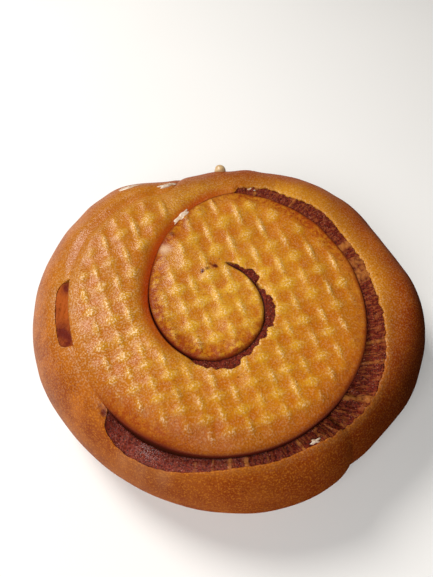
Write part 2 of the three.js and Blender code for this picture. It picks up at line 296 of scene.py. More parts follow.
# Russet and dark: a deeper bake with painted shade, strongest on the side away from the light
RUSSET_BAKE_AND_SHADE = (0.26, 0.034, 0.002, 1)
DARK_BAKE_AND_SHADE = (0.035, 0.004, 0.001, 1)
ORANGE_BROWN = (0.27, 0.046, 0.004, 1)
# Painted shade in the valleys beside a closed seam
RED_ORANGE_SHADE = (0.33, 0.034, 0.001, 1)
TOASTED = (0.16, 0.018, 0.005, 1)
BURNT = (0.08, 0.013, 0.004, 1)
# Painted shade on the slot's sides, dark red-brown
SLOT_PAINTED_SHADE = (0.05, 0.009, 0.004, 1)
CINNAMON = (0.10, 0.012, 0.006, 1)
# Pale smears of icing, partly painted sheen
CREAM_AND_SHEEN = (0.62, 0.40, 0.24, 1)

# Colours of the filling
PASTE_DARK = (0.035, 0.005, 0.004, 1)
PASTE_RED = (0.165, 0.019, 0.008, 1)
MOIST_DARK = (0.055, 0.007, 0.006, 1)
MOIST_RED = (0.21, 0.028, 0.014, 1)
SUGAR = (0.50, 0.22, 0.15, 1)
STRAND = (0.27, 0.068, 0.016, 1)
BRIDGE_DOUGH = (0.38, 0.13, 0.024, 1)
# Painted shadow along the filling's inner edge, under the inner turn's lip
PASTE_LIP_SHADOW = (0.03, 0.005, 0.004, 1)
PASTE_BAKED = (0.36, 0.075, 0.008, 1)
PASTE_BLOTCHED = (0.13, 0.015, 0.007, 1)

# Looks of the bead and the icing, and the floor's colours
BEAD_LOOK = {
    "colours": ((0.44, 0.27, 0.11, 1), (0.62, 0.44, 0.24, 1)),
    "speckle": 700, "contrast": (0.3, 0.7), "roughness": 0.35, "grain": 1500, "bump": 0.3,
}
ICING_LOOK = {
    "colours": ((0.48, 0.30, 0.18, 1), (0.70, 0.60, 0.49, 1)),
    "speckle": 900, "contrast": (0.35, 0.65), "roughness": 0.3, "grain": 1800, "bump": 0.4,
}
FLOOR_COLOURS = ((0.80, 0.80, 0.80, 1), (0.86, 0.86, 0.86, 1))

# Flecks of icing: place, heading in degrees, length, width, rise and how far they sink
FLECKS = [
    (-13.3, 22.3, 52, 6.4, 2.8, 0.3, 0), (7.6, 33.6, -10, 3, 1.5, 0.3, 0.3),
    (18.5, -39.8, 18, 2.5, 1.1, 0.35, 0.43), (-18, 36, 33, 6, 2, 0.5, 0),
    (-29.6, 34.8, 20, 7, 2, 0.4, 0),
]
FLECK_SIDES = 28
FLECK_RINGS = 6
FLECK_CLIMB = 0.5  # steepest climb of a fleck that lies in a gape
FLECK_SUNK = 0.25  # share of its rise that lies under the crust

# Camera of the photograph
CAMERA_PLACE = (-3.1, -65.3, 130.2)
CAMERA_TILT = math.radians(33)
CAMERA_LENS = 28.08
SENSOR_WIDTH = 36
CLIP_START = 0.005

# Studio, in metres: place, size, power and colour of each light
LIGHTS = {
    "key": ((-0.30, 0.26, 0.50), 0.24, 3.3, (1.0, 0.96, 0.9)),
    "fill": ((-0.18, -0.36, 0.5), 0.5, 3.2, (1.0, 0.98, 0.95)),
}
LIGHT_TARGET = Vector((0, 0, 0.03))
WORLD_COLOUR = (1.0, 0.98, 0.95, 1)
WORLD_STRENGTH = 0.06
FLOOR_HALF = 2000

WAVES = 14  # of a ripple


def smoothstep(value, low, high):
    t = np.clip((value - low) / (high - low), 0, 1)
    return t * t * (3 - 2 * t)


def fade(distance, whole, gone):
    return 1 - smoothstep(distance, whole, gone)


def bell(distance, half):
    return 0.5 + 0.5 * np.cos(np.pi * np.minimum(np.abs(distance) / half, 1))


def value_at(table, place, column=1):
    """A table's column, interpolated at places in its first column."""
    return np.interp(place, table[:, 0], table[:, column])


def rounded_edge(distance, run, drop):
    """Drop of a rounded edge at a distance from its brink."""
    t = np.clip(1 - distance / run, 0, 1)
    return drop * (1 - np.sqrt(1 - t * t))


def ripple(x, y, wavelength, seed):
    """Smooth random field of about unit height."""
    draw = np.random.default_rng(seed)
    heading = draw.uniform(0, 2 * np.pi, WAVES)
    phase = draw.uniform(0, 2 * np.pi, WAVES)
    number = 2 * np.pi / (wavelength * draw.uniform(0.7, 1.5, WAVES))
    total = 0
    for a, p, k in zip(heading, phase, number):
        total = total + np.cos(k * (x * math.cos(a) + y * math.sin(a)) + p)
    return total * math.sqrt(2 / WAVES)


def rim_radius(angle):
    """Catmull-Rom interpolation of the rim radii, less the crease."""
    count = len(RIM_RADII)
    place = np.mod(angle, 2 * np.pi) / (2 * np.pi) * count
    first = np.floor(place).astype(int)
    t = place - first
    a, b, c, d = (RIM_RADII[(first + k) % count] for k in (-1, 0, 1, 2))
    square = (2 * a - 5 * b + 4 * c - d) * t**2
    cube = (3 * b - a - 3 * c + d) * t**3
    off_crease = np.mod(angle - CREASE_ANGLE + np.pi, 2 * np.pi) - np.pi
    crease = np.clip(1 - np.abs(off_crease) * RIM_RADII.mean() / CREASE_HALF, 0, 1)
    return 0.5 * (2 * b + (c - a) * t + square + cube) - CREASE_DEPTH * crease**2


def rim_inset(x, y):
    return rim_radius(np.arctan2(y, x)) - np.hypot(x, y)


def trace_seam():
    """Stations of the seam: x, y, outward normal and distance from the start, one row each."""
    stations = []
    x, y = SEAM_START
    heading = SEAM_HEADING
    along = 0
    for radius, sweep in SEAM_ARCS + TAIL_ARCS:
        length = abs(radius) * math.radians(sweep)
        turn = -length / radius
        centre_x = x + radius * math.sin(heading)
        centre_y = y - radius * math.cos(heading)
        steps = math.ceil(length / SEAM_STEP)
        share = np.arange(1 if stations else 0, steps + 1) / steps
        h = heading + turn * share
        spot = [centre_x - radius * np.sin(h), centre_y + radius * np.cos(h), -np.sin(h), np.cos(h)]
        stations.append(np.stack([*spot, along + length * share], axis=1))
        heading += turn
        along += length
        x = centre_x - radius * math.sin(heading)
        y = centre_y + radius * math.cos(heading)
    return np.concatenate(stations)


SEAM = trace_seam()
SEAM_LENGTH = SEAM[-1, 4]


def seam_point(along, out):
    """Place at a distance along the seam and out from it."""
    x, y, nx, ny = (np.interp(along, SEAM[:, 4], SEAM[:, k]) for k in range(4))
    return x + nx * out, y + ny * out


def drawn_in(share):
    """Scale of the turns at a share of their height over the base."""
    return 1 - FOOT_SHRINK * smoothstep(share, SHRINK_FROM, 0)


def gape(along):
    """Width that the outer turn has pulled away, eased between the rows of its table."""
    after = np.clip(np.searchsorted(GAPES[:, 0], along), 1, len(GAPES) - 1)
    start, width = GAPES[after - 1, 0], GAPES[after - 1, 1]
    end, next_width = GAPES[after, 0], GAPES[after, 1]
    eased = width + (next_width - width) * smoothstep(along, start, end)
    middle, half, reach = PATCH
    patch = reach * np.sqrt(1 - np.minimum(np.abs(along - middle) / half, 1) ** PATCH_POWER)
    return np.where(along < EASED, eased, value_at(GAPES, along)) + patch


def plain_width(along):
    """Width of the slot at the top but for its torn edge."""
    return value_at(LAYER, along) + gape(along)


def torn_edge(along):
    """How far the torn edge lies out from the plain slot."""
    torn = value_at(RAGGED, along) * smoothstep(gape(along), 0.2, 1.2)
    wave = sum(rise * ripple(along, 0 * along, wavelength, seed) for rise, wavelength, seed in TORN_WAVES)
    return np.maximum(torn * wave, -0.4 * gape(along))


def slot_width(along, depth):
    """Width of the slot at a depth below its brink."""
    share = fade(depth, LEDGE_DEPTH, NECK_DEPTH)
    return value_at(LAYER, along) + (gape(along) + torn_edge(along)) * share


def gape_width(along):
    return slot_width(along, 0)


def beside_seam(x, y):
    """For each point, where along the seam and how far it is inside one turn of it, then outside another."""
    plain = plain_width(SEAM[:, 4])
    torn = torn_edge(SEAM[:, 4])
    found = [np.empty(len(x)) for _ in range(4)]
    last = len(SEAM) - 1
    for start in range(0, len(x), BATCH):
        part = slice(start, start + BATCH)
        dx = x[part, None] - SEAM[None, :, 0]
        dy = y[part, None] - SEAM[None, :, 1]
        out = dx * SEAM[:, 2] + dy * SEAM[:, 3]
        ahead = dx * SEAM[:, 3] - dy * SEAM[:, 2]
        square = np.abs(ahead) < 0.75 * SEAM_STEP
        square[:, last] |= ahead[:, last] > 0
        inner = np.where(square & (out <= SLOT_SHARE * plain) & (out > -TURN_REACH), -out, np.inf)
        beyond = out - plain
        beyond = np.where(square & (beyond >= -SLOT_SHARE * plain), beyond, np.inf)
        outer = beyond - torn * fade(beyond, TORN_REACH / 5, TORN_REACH)
        tip = np.hypot(dx[:, 0], dy[:, 0])
        inner[:, 0] = np.where((ahead[:, 0] < 0) & (tip < TIP_REACH), tip, inner[:, 0])
        for k, distance in ((0, inner), (2, outer)):
            nearest = distance.argmin(axis=1)
            found[k][part] = SEAM[nearest, 4]
            found[k + 1][part] = np.maximum(distance[np.arange(len(nearest)), nearest], 0)
    return found


def weave_number(x, y, terms):
    """Number of the weave's column or row at a place, whole at its middle."""
    u, v = x / WEAVE_UNIT, y / WEAVE_UNIT
    return sum(term * form for term, form in zip(terms, (1, u, v, u * u, u * v, v * v)))


def imprint(x, y):
    """Woven imprint of narrow and broad bumps by turns: heights of the narrow ones and of the rest."""
    column = weave_number(x, y, WEAVE_COLUMN)
    row = weave_number(x, y, WEAVE_ROW)
    draw = np.random.default_rng(WEAVE_SEED)
    uneven = draw.uniform(*BUMP_SHARES, (WEAVE_REPEAT, WEAVE_REPEAT))
    shift = draw.normal(0, BUMP_SHIFT, (WEAVE_REPEAT, WEAVE_REPEAT))
    slim, rest = np.zeros_like(x), np.zeros_like(x)
    for i in (-1, 0, 1):
        for j in (-1, 0, 1):
            c = np.round(column).astype(int) + i
            r = np.round(row).astype(int) + j
            narrow = (c + r) % 2 == 0
            form = (np.where(narrow, a, b) for a, b in zip(NARROW_BUMP, BROAD_BUMP))
            rise, half_across, half_along, higher = form
            length = (row - r - shift[r % WEAVE_REPEAT, c % WEAVE_REPEAT]) * ROW_PITCH + higher
            across = (column - c - shift[c % WEAVE_REPEAT, r % WEAVE_REPEAT]) * COLUMN_PITCH
            near = (across / half_across) ** 2 + (length / half_along) ** 2
            rise = rise * uneven[c % WEAVE_REPEAT, r % WEAVE_REPEAT]
            height = rise * np.exp(-np.where(narrow, near, near**1.5))
            slim += np.where(narrow, height, 0)
            rest += np.where(narrow, 0, height)
    for number, pitch, (rise, half) in ((column, COLUMN_PITCH, COLUMN_RIDGE), (row, ROW_PITCH, ROW_RIDGE)):
        off_ridge = (number - np.round(number)) * pitch
        rest += rise * np.exp(-((off_ridge / half) ** 2))
    return slim, rest


def crown(x, y):
    """Height of the plain bun's top."""
    run = np.clip(1 - rim_inset(x, y) / SHOULDER_RUN, 0, 1)
    return WIDEST_HEIGHT + (HEIGHT - WIDEST_HEIGHT) * np.sqrt(1 - run * run)


def lip(table, along, distance):
    """Drop of a turn's edge at a distance from the seam."""
    run, drop, soft = (value_at(table, along, k) for k in (1, 2, 3))
    return rounded_edge(distance, run, drop) * (1 - soft) + drop * bell(distance, run) * soft


def wrapped_distance(near):
    """Distance from the seam of a point inside one of its turns, and whether it is inside any."""
    along_in, inside = near[:2]
    wrapped = np.isfinite(inside) & (along_in < ROLLED_LENGTH)
    return np.where(wrapped, inside, 0), wrapped


def imprint_share(near):
    """How strongly the imprint shows: none on the outer wrap, less towards a lip or in a valley."""
    along_in, _, along_out, outside = near
    distance, wrapped = wrapped_distance(near)
    start, reach = (np.where(along_in < FIRST_TURN, a, b) for a, b in zip(*LIP_FADES))
    share = np.where(wrapped, smoothstep(distance, start, reach), 0)
    valley = smoothstep(along_out, *VALLEY_STARTS) * fade(along_out, *VALLEY_ENDS)
    return share * (1 - valley * fade(outside, *VALLEY_FADE))


def top_height(x, y, near):
    """Height of the dough's top over the base."""
    along_in, inside, along_out, outside = near
    height = crown(x, y)
    for rise, wavelength, seed in TOP_SWELLS:
        height = height + rise * ripple(x, y, wavelength, seed)
    height += sum(imprint(x, y)) * imprint_share(near)
    height -= lip(INNER_LIP, along_in, inside) + lip(OUTER_LIP, along_out, outside)
    fall = fade(outside, STEP_EDGE, STEP_RUN)
    return height - STEP_DROP * fall * bell(along_out - STEP_MIDDLE, STEP_HALF_LENGTH)


def side_profile():
    """Inset from the widest ring and height of each row of the side, from the top ring down."""
    rise = np.linspace(TOP_RISE, FOOT_ANGLE, ROWS + 1)
    up = rise > 0
    inset = np.where(up, SHOULDER_RUN, FOOT_RUN) * (1 - np.cos(rise))
    above = np.sin(rise) * (HEIGHT - WIDEST_HEIGHT)
    below = np.sin(rise) / -math.sin(FOOT_ANGLE) * WIDEST_HEIGHT
    return inset, WIDEST_HEIGHT + np.where(up, above, below)


def exit_along(inset, share, outer):
    """Where along the seam a side of the slot passes through each row of the bun's side."""
    along = np.linspace(SEAM_LENGTH - 2 * EXIT_RUN, SEAM_LENGTH, EXIT_SAMPLES)
    x, y = seam_point(along, gape_width(along) * outer)
    scales = drawn_in(share)
    return np.array([np.interp(-row, -rim_inset(x * s, y * s), along) for row, s in zip(inset, scales)])


def slot_side(outer, share, ends):
    """One side of the slot from the seam's start to its exit: x, y and share of height by row and column."""
    bend = ends.min() - EXIT_RUN
    rolled = np.arange(0, bend, EDGE_SPACING)
    leaving = np.linspace(0, 1, EXIT_COLUMNS + 1)
    depth_share = np.linspace(0, 1, ROWS + 1) ** ROW_POWER
    last_run = bend + leaving * (ends[:, None] - bend)
    along = np.concatenate([np.tile(rolled, (ROWS + 1, 1)), last_run], axis=1)
    mix = np.concatenate([0 * rolled, leaving])
    down = (1 - mix) * (1 - depth_share[:, None]) + mix * share[:, None]
    depth = (1 - down) * HEIGHT
    out = slot_width(along, depth) if outer else 0 * along
    x, y = seam_point(along, out)
    scale = drawn_in(down)
    return x * scale, y * scale, down


def outline_side(inset, share, first, last):
    """The bun's side from the strip's loose end round to the slot's other side, as slot_side gives it."""
    begin = np.arctan2(first[1], first[0])[:, None]
    end = np.arctan2(last[1], last[0])[:, None] + 2 * np.pi
    reach = RIM_RADII.mean()
    length = 2 * np.pi * reach
    close = np.arange(0, CORNER_RUN, CORNER_SPACING)
    even = np.linspace(CORNER_RUN, length - CORNER_RUN, round(length / RIM_SPACING))
    place = np.concatenate([close, even, length - close[::-1]]) / length
    angle = begin + (end - begin) * place
    extra = rounded_edge((angle - begin) * reach, *TAIL_ROUND)
    extra += rounded_edge((end - angle) * reach, *HEEL_ROUND)
    from_ends = np.minimum(angle - begin, end - angle) * reach
    rise, wavelength, seed = SIDE_SWELL
    uneven = rise * smoothstep(share, 1, 0.8)[:, None] * smoothstep(from_ends, 0, SWELL_FADE)
    extra += uneven * ripple(angle * reach, share[:, None] * HEIGHT, wavelength, seed)
    radius = rim_radius(angle) - inset[:, None] - extra
    return radius * np.cos(angle), radius * np.sin(angle), np.repeat(share[:, None], len(place), axis=1)


def dough_loop():
    """The dough's upright faces as closed rows from the top down, and the side's number of columns."""
    inset, level = side_profile()
    share = level / level[0]
    tail_ends = exit_along(inset + TAIL_ROUND[1], share, True)
    heel_ends = exit_along(inset + HEEL_ROUND[1], share, False)
    outer = slot_side(True, share, tail_ends)
    inner = slot_side(False, share, heel_ends)
    first = [part[:, -1] for part in outer[:2]]
    last = [part[:, -1] for part in inner[:2]]
    ring = outline_side(inset, share, first, last)
    loop = [np.concatenate([r, i[:, -2::-1], o[:, :-1]], axis=1) for r, i, o in zip(ring, inner, outer)]
    return loop, ring[0].shape[1]


def rows_beside_seam():
    """Rows of points along both lips of the seam and round its start."""
    rows = []
    along = np.arange(EDGE_SPACING / 2, SEAM_LENGTH, EDGE_SPACING)
    for k, distance in enumerate(EDGE_ROWS):
        shifted = along + (k % 2) * EDGE_SPACING / 2
        for out in (-distance + 0 * shifted, gape_width(shifted) + distance):
            rows.append(seam_point(shifted, out))
    for distance in EDGE_ROWS:
        count = max(3, round(math.pi * distance / EDGE_SPACING))
        turn = SEAM_HEADING + math.pi / 2 + (np.arange(count) + 0.5) / count * math.pi
        rows.append((SEAM_START[0] + distance * np.cos(turn), SEAM_START[1] + distance * np.sin(turn)))
    return rows


def top_points():
    """Points of the top inside its loop: rows beside the seam, then an even fill."""
    reach = RIM_RADII.max()
    steps = np.arange(-reach, reach, FILL_SPACING)
    x, y = np.meshgrid(steps, steps * math.sqrt(0.75))
    x = x + np.where(np.arange(len(steps)) % 2, FILL_SPACING / 2, 0)[:, None]
    x, y = x.ravel(), y.ravel()
    near = beside_seam(x, y)
    clear = np.minimum(near[1], near[3]) > EDGE_ROWS[-1] + FILL_SPACING / 2
    rows = rows_beside_seam() + [(x[clear], y[clear])]
    x, y = (np.concatenate(part) for part in zip(*rows))
    kept = rim_inset(x, y) > TOP_INSET + FILL_SPACING / 2
    return x[kept], y[kept]


def base_points():
    """Points of the base inside its loop."""
    steps = np.arange(-RIM_RADII.max(), RIM_RADII.max(), BASE_SPACING)
    x, y = (part.ravel() for part in np.meshgrid(steps, steps))
    near = beside_seam(x, y)
    kept = (rim_inset(x, y) > BASE_INSET) & (np.minimum(near[1], near[3]) > BASE_CLEAR)
    return x[kept], y[kept]


def triangulate(loop_x, loop_y, x, y):
    """Triangles between a loop and points inside it. The loop's points come first in the result."""
    loop = list(range(len(loop_x)))
    points = np.stack([np.concatenate([loop_x, x]), np.concatenate([loop_y, y])], axis=1)
    cut = delaunay_2d_cdt(points.tolist(), [], [loop], 0, MERGE_DISTANCE, True)
    _, _, faces, origins, _, homes = cut
    rank = np.array([min(origin) if origin else -1 for origin in origins])
    assert rank.min() >= 0, "the loop crosses itself"
    kept = np.array([bool(home) for home in homes])
    return points, rank[np.array(faces)[kept]]


def ring_quads(grid):
    """Faces between the rows of a grid of points whose columns close round."""
    right = np.roll(grid, -1, axis=1)
    return np.stack([grid[:-1], grid[1:], right[1:], right[:-1]], axis=2).reshape(-1, 4)


def make_mesh(name, points, faces, masks=None):
    """A smooth mesh object from millimetres, with point masks for its material."""
    mesh = bpy.data.meshes.new(name)
    mesh.from_pydata((np.asarray(points) * MM).tolist(), [], [list(face) for face in faces])
    mesh.update()
    mesh.shade_smooth()
    for key, values in (masks or {}).items():
        attribute = mesh.attributes.new(key, "FLOAT", "POINT")
        attribute.data.foreach_set("value", np.asarray(values, np.float32))
    made = bpy.data.objects.new(name, mesh)
    bpy.context.scene.collection.objects.link(made)
    return made


def round_spots(x, y, spots):
    """Soft round spots by place, radius and strength, added up."""
    return sum(k * bell(np.hypot(x - a, y - b), r) for a, b, r, k in spots)


def rim_masks(x, y, near):
    """Where the crust is brown towards the rim, russet and dark towards it with a deeper bake and painted
    shade, darker with painted shade outside the inner turn, and how glossy it is.
    """
    along_in, _, along_out, outside = near
    inset = rim_inset(x, y)
    angle = np.arctan2(y, x)
    distance, _ = wrapped_distance(near)
    wrap = np.where(along_in < FIRST_TURN, 0, fade(distance, *BROWN_WRAP))
    plain, more = WRAP_BROWN
    wrap_brown = (plain + more * smoothstep(along_out, *LOOSE_END)) * wrap
    # russet and dark: a deeper bake with painted shade on the side away from the light; dark also takes the
    # painted shade outside the inner turn
    russet, dark = (value_at(SIDES, np.degrees(angle), k) for k in (1, 2))
    middle, half, strength = SHADED
    shaded = strength * bell(along_out - middle, half) * fade(outside, *SHADED_REACH)
    left = 0.5 + 0.5 * np.cos(angle - GLOSS_SIDE)
    back = 0.5 + 0.5 * np.sin(angle)
    everywhere, at_side, at_back, off_rim = GLOSS
    gloss = everywhere + at_side * left**3 + at_back * back**3
    gloss -= off_rim * fade(inset, *MATT_RIM) * (1 - left**2)
    return {
        "brown": np.maximum(fade(inset, *BROWN_RIM), wrap_brown),
        "russet": russet * fade(inset, *RUSSET_AND_SHADE_RIM),
        "dark": np.maximum(dark * fade(inset, *DARK_AND_SHADE_RIM), shaded),
        "gloss": gloss,
    }


def stain_mask(x, y, near):
    """Where the filling has stained the crust."""
    along_in, inside, along_out, outside = near
    middle, half, extra = START_STAIN
    reach = STAIN_REACH + extra * bell(along_in - middle, half) * (1 + 0.3 * ripple(x, y, 1.2, 61))
    middle, half, extra = BACK_STAIN
    reach += extra * bell(along_in - middle, half)
    inner = value_at(STAIN, along_in) * fade(inside, 0.5 * reach - STAIN_SOFT, reach)
    outer = value_at(STAIN, along_out) * fade(outside, *OUTER_STAIN)
    outer = outer * fade(gape(along_out), *STAINED_GAPE)
    spots = sum(k * fade(np.hypot(x - a, y - b), SPOT_CORE * r, r) for a, b, r, k in SPOTS)
    return np.maximum(np.maximum(inner, outer), spots)


def lip_masks(x, y, near):
    """Where the crust beside the seam is toasted, tanned, pale or stained, and where painted shade lies in
    its valleys.
    """
    along_in, inside, along_out, outside = near
    brink, behind = (value_at(TOAST, along_in, k) for k in (1, 2))
    paleness, reach = (value_at(CREST, along_out, k) for k in (1, 2))
    return {
        "toast": brink * fade(inside, *TOAST_REACH),
        "tan": behind * fade(inside, *TAN_REACH),
        "crest": paleness * fade(outside, CREST_CORE * reach, reach),
        # valley: painted shade where the outer turn slopes into the seam
        "valley": value_at(VALLEY_SHADE, along_out) * fade(outside, *VALLEY_SHADE_REACH),
        "stain": stain_mask(x, y, near),
    }


def weave_masks(x, y, near):
    """Where the top has narrow bumps, broad ones and dents, where it is golden, deep or bright, and where
    its painted sheen lies.
    """
    share = imprint_share(near)
    slim, rest = imprint(x, y)
    slim, rest = slim / NARROW_BUMP[0], rest / FULL_RELIEF
    sides = DEEPENED * smoothstep(x, *LEFT_DEEPENED) + DEEPENED * smoothstep(x, *RIGHT_DEEPENED)
    return {
        "narrow": slim * share,
        "broad": rest * share,
        "dent": share * fade(slim + rest, *DENT_RELIEF),
        "glow": round_spots(x, y, [(*GLOW, 1)]),
        "deepened": np.maximum(LIP_DEEPENED * fade(near[1], *LIP_REACH), sides),
        # painted sheen: where painted glints of light gather most
        "painted_sheen": round_spots(x, y, [(*PAINTED_SHEEN, 1)]) * fade(rim_inset(x, y), *PAINTED_SHEEN_RIM),
    }


def dough_masks(x, y, slot_shade):
    """Masks of the crust's material for each point, of which some are in the slot and carry its painted
    shade.
    """
    near = beside_seam(x, y)
    along_in, inside, along_out, outside = near
    masks = rim_masks(x, y, near) | lip_masks(x, y, near) | weave_masks(x, y, near)
    masks["gloss"] = masks["gloss"] * (1 - TAN_MATT * np.minimum(masks["tan"], 1))
    for name in ("narrow", "broad", "dent", "painted_sheen", "gloss"):
        masks[name] = np.where(slot_shade > 0, 0, masks[name])
    start, end, shade_fading = WALL_SHADE_FADE
    along = np.where(outside < inside, along_out, along_in)
    # painted shade on the slot's sides, fading towards the band's end
    masks["wall"] = slot_shade * (1 - shade_fading * smoothstep(along, start, end))
    # pale smears of icing, on the front-left rim partly painted sheen
    masks["smear_and_sheen"] = round_spots(x, y, SMEARS_AND_SHEEN)
    return masks


def make_dough():
    """The rolled strip of dough: its top, the upright faces of side and slot, and its base."""
    (x, y, share), outline_count = dough_loop()
    rows, count = x.shape
    top, top_faces = triangulate(x[0], y[0], *top_points())
    base, base_faces = triangulate(x[-1], y[-1], *base_points())
    top_z = top_height(*top.T, beside_seam(*top.T))
    wall_z = share[1:] * top_z[:count]
    wall = np.stack([x[1:], y[1:], wall_z], axis=2).reshape(-1, 3)
    inner_base = base[count:]
    points = np.concatenate([
        np.column_stack([top, top_z]),
        wall,
        np.column_stack([inner_base, np.zeros(len(inner_base))]),
    ])
    wall_index = len(top) + np.arange(len(wall)).reshape(rows - 1, count)
    grid = np.concatenate([np.arange(count)[None], wall_index])
    base_index = np.concatenate([grid[-1], len(top) + len(wall) + np.arange(len(inner_base))])
    faces = top_faces.tolist() + ring_quads(grid).tolist() + base_index[base_faces][:, ::-1].tolist()
    slot_shade = np.zeros(len(points))
    # painted shade on the slot's sides, deeper further below the brink
    painted_wall_shade = smoothstep(top_z[:count] - wall_z, 0, WALL_SHADE_DEPTH)
    slot_shade[wall_index[:, outline_count:]] = painted_wall_shade[:, outline_count:]
    made = make_mesh("dough_crust", points, faces, dough_masks(points[:, 0], points[:, 1], slot_shade))
    made.data.set_sharp_from_angle(angle=SHARP_EDGE)
    return made


def filling_surface(along, width, edge):
    """Rows of the filling's top: distance out, height, strength of bridges and place along their lean."""
    opened = smoothstep(width, *OPENED)
    across = np.linspace(0, 1, FILLING_CELLS + 1)[None, :]
    out = across * (width + 2 * FILLING_OVERLAP) - FILLING_OVERLAP
    x, y = seam_point(along + 0 * out, out)
    leaning = along + value_at(SLANT, along) * (out - 0.5 * width)
    bridge = sum(k * bell(leaning - middle, BRIDGE_FADE * half) for middle, half, k in BRIDGES)
    bridge = np.clip(bridge * (1 + 0.25 * ripple(x, y, 1.3, 33)), 0, 1)
    rib = ripple(along + 0.25 * ripple(x, y, 3, 31), 0 * x, 1.7, 32)
    rough = value_at(RIB_HEIGHT, along) * rib + GRAIN_HEIGHT * ripple(x, y, 1.1, 34)
    recess_in = value_at(RECESS, along)
    recess_out = CLOSED_RECESS + (EDGE_RECESS - CLOSED_RECESS) * opened
    top = edge - (recess_in + (recess_out - recess_in) * across**RECESS_POWER)
    return out, top + opened * (rough + BRIDGE_RISE * bridge), bridge, leaning


def filling_masks(along, out, bridge, leaning):
    """Masks of the filling's material for each point of its top."""
    place = along + 0 * out
    return {
        "bridge": bridge,
        "leaning": leaning,
        "across": out,
        "fibrous": value_at(FIBROUS, place),
        "moist": value_at(MOIST, place),
        "wet": squashed_spots(place, out, [(*WET, 1)]),
        "patch": smoothstep(place, *BARE_PATCH),
        "blotch": squashed_spots(place, out, BLOTCHES),
        # painted shadow along the inner edge, under the inner turn's lip
        "lip_shadow": fade(out, *LIP_SHADOW_EDGE) * fade(place, *LIP_SHADOW_END),
    }


def squashed_spots(along, out, spots):
    """Soft spots on the filling by place along and across, reach and strength, added up."""
    return sum(k * bell(np.hypot(along - s, SPOT_SQUASH * (out - d)), r) for s, d, r, k in spots)


def make_filling():
    """The cinnamon layer: a closed section between the turns, swept along the seam."""
    along = np.arange(FILLING_START, ROLLED_LENGTH, EDGE_SPACING)
    width = gape_width(along)
    edge_x, edge_y = seam_point(along, width)
    edge = top_height(edge_x, edge_y, beside_seam(edge_x, edge_y))
    along, width, edge = along[:, None], width[:, None], edge[:, None]
    out, top, bridge, leaning = filling_surface(along, width, edge)
    steps = np.linspace(0, 1, WALL_CELLS + 1)
    outer_z = FILLING_BASE + (top[:, -1:] - FILLING_BASE) * (1 - steps[1:])
    outer_out = slot_width(along, edge - outer_z) + FILLING_OVERLAP
    inner_z = FILLING_BASE + (top[:, :1] - FILLING_BASE) * steps[:-1]
    inner_out = np.full_like(inner_z, -FILLING_OVERLAP)
    section = np.concatenate([out, outer_out, inner_out], axis=1)
    z = np.concatenate([top, outer_z, inner_z], axis=1)
    x, y = seam_point(along + 0 * section, section)
    scale = drawn_in(z / edge)
    points = np.stack([x * scale, y * scale, z], axis=2).reshape(-1, 3)
    grid = np.arange(section.size).reshape(section.shape)
    faces = ring_quads(grid).tolist() + [grid[0].tolist(), grid[-1][::-1].tolist()]
    blank = np.zeros((len(along), section.shape[1] - out.shape[1]))
    masks = filling_masks(along, out, bridge, leaning)
    masks = {name: np.concatenate([values, blank], axis=1).ravel() for name, values in masks.items()}
    return make_mesh("cinnamon_filling", points, faces, masks)


def make_bead():
    """A bead of dough baked on to the back shoulder."""
    reach = rim_radius(np.array([BEAD_ANGLE]))[0] - SHOULDER_RUN * (1 - math.cos(BEAD_RISE))
    level = WIDEST_HEIGHT + (HEIGHT - WIDEST_HEIGHT) * math.sin(BEAD_RISE)
    middle = np.array([reach * math.cos(BEAD_ANGLE), reach * math.sin(BEAD_ANGLE), level + BEAD_LIFT])
    turn = np.arange(BEAD_SIDES) / BEAD_SIDES * 2 * np.pi
    angle, rise = np.meshgrid(turn, np.linspace(-np.pi / 2, np.pi / 2, BEAD_RINGS + 1)[1:-1])
    ball = np.stack([np.cos(rise) * np.cos(angle), np.cos(rise) * np.sin(angle), np.sin(rise)], axis=2)
    ball = np.concatenate([ball.reshape(-1, 3), [(0, 0, -1), (0, 0, 1)]])
    size = BEAD_RADIUS * (1 + 0.03 * ripple(ball[:, 0], ball[:, 1] + ball[:, 2], 1.4, 41))
    grid = np.arange((BEAD_RINGS - 1) * BEAD_SIDES).reshape(BEAD_RINGS - 1, BEAD_SIDES)
    right = np.roll(grid, -1, axis=1)
    south, north = len(ball) - 2, len(ball) - 1
    faces = ring_quads(grid)[:, [0, 3, 2, 1]].tolist()
    faces += [[b, a, south] for a, b in zip(grid[0], right[0])]
    faces += [[a, b, north] for a, b in zip(grid[-1], right[-1])]
    return make_mesh("dough_bead", middle + ball * size[:, None], faces)


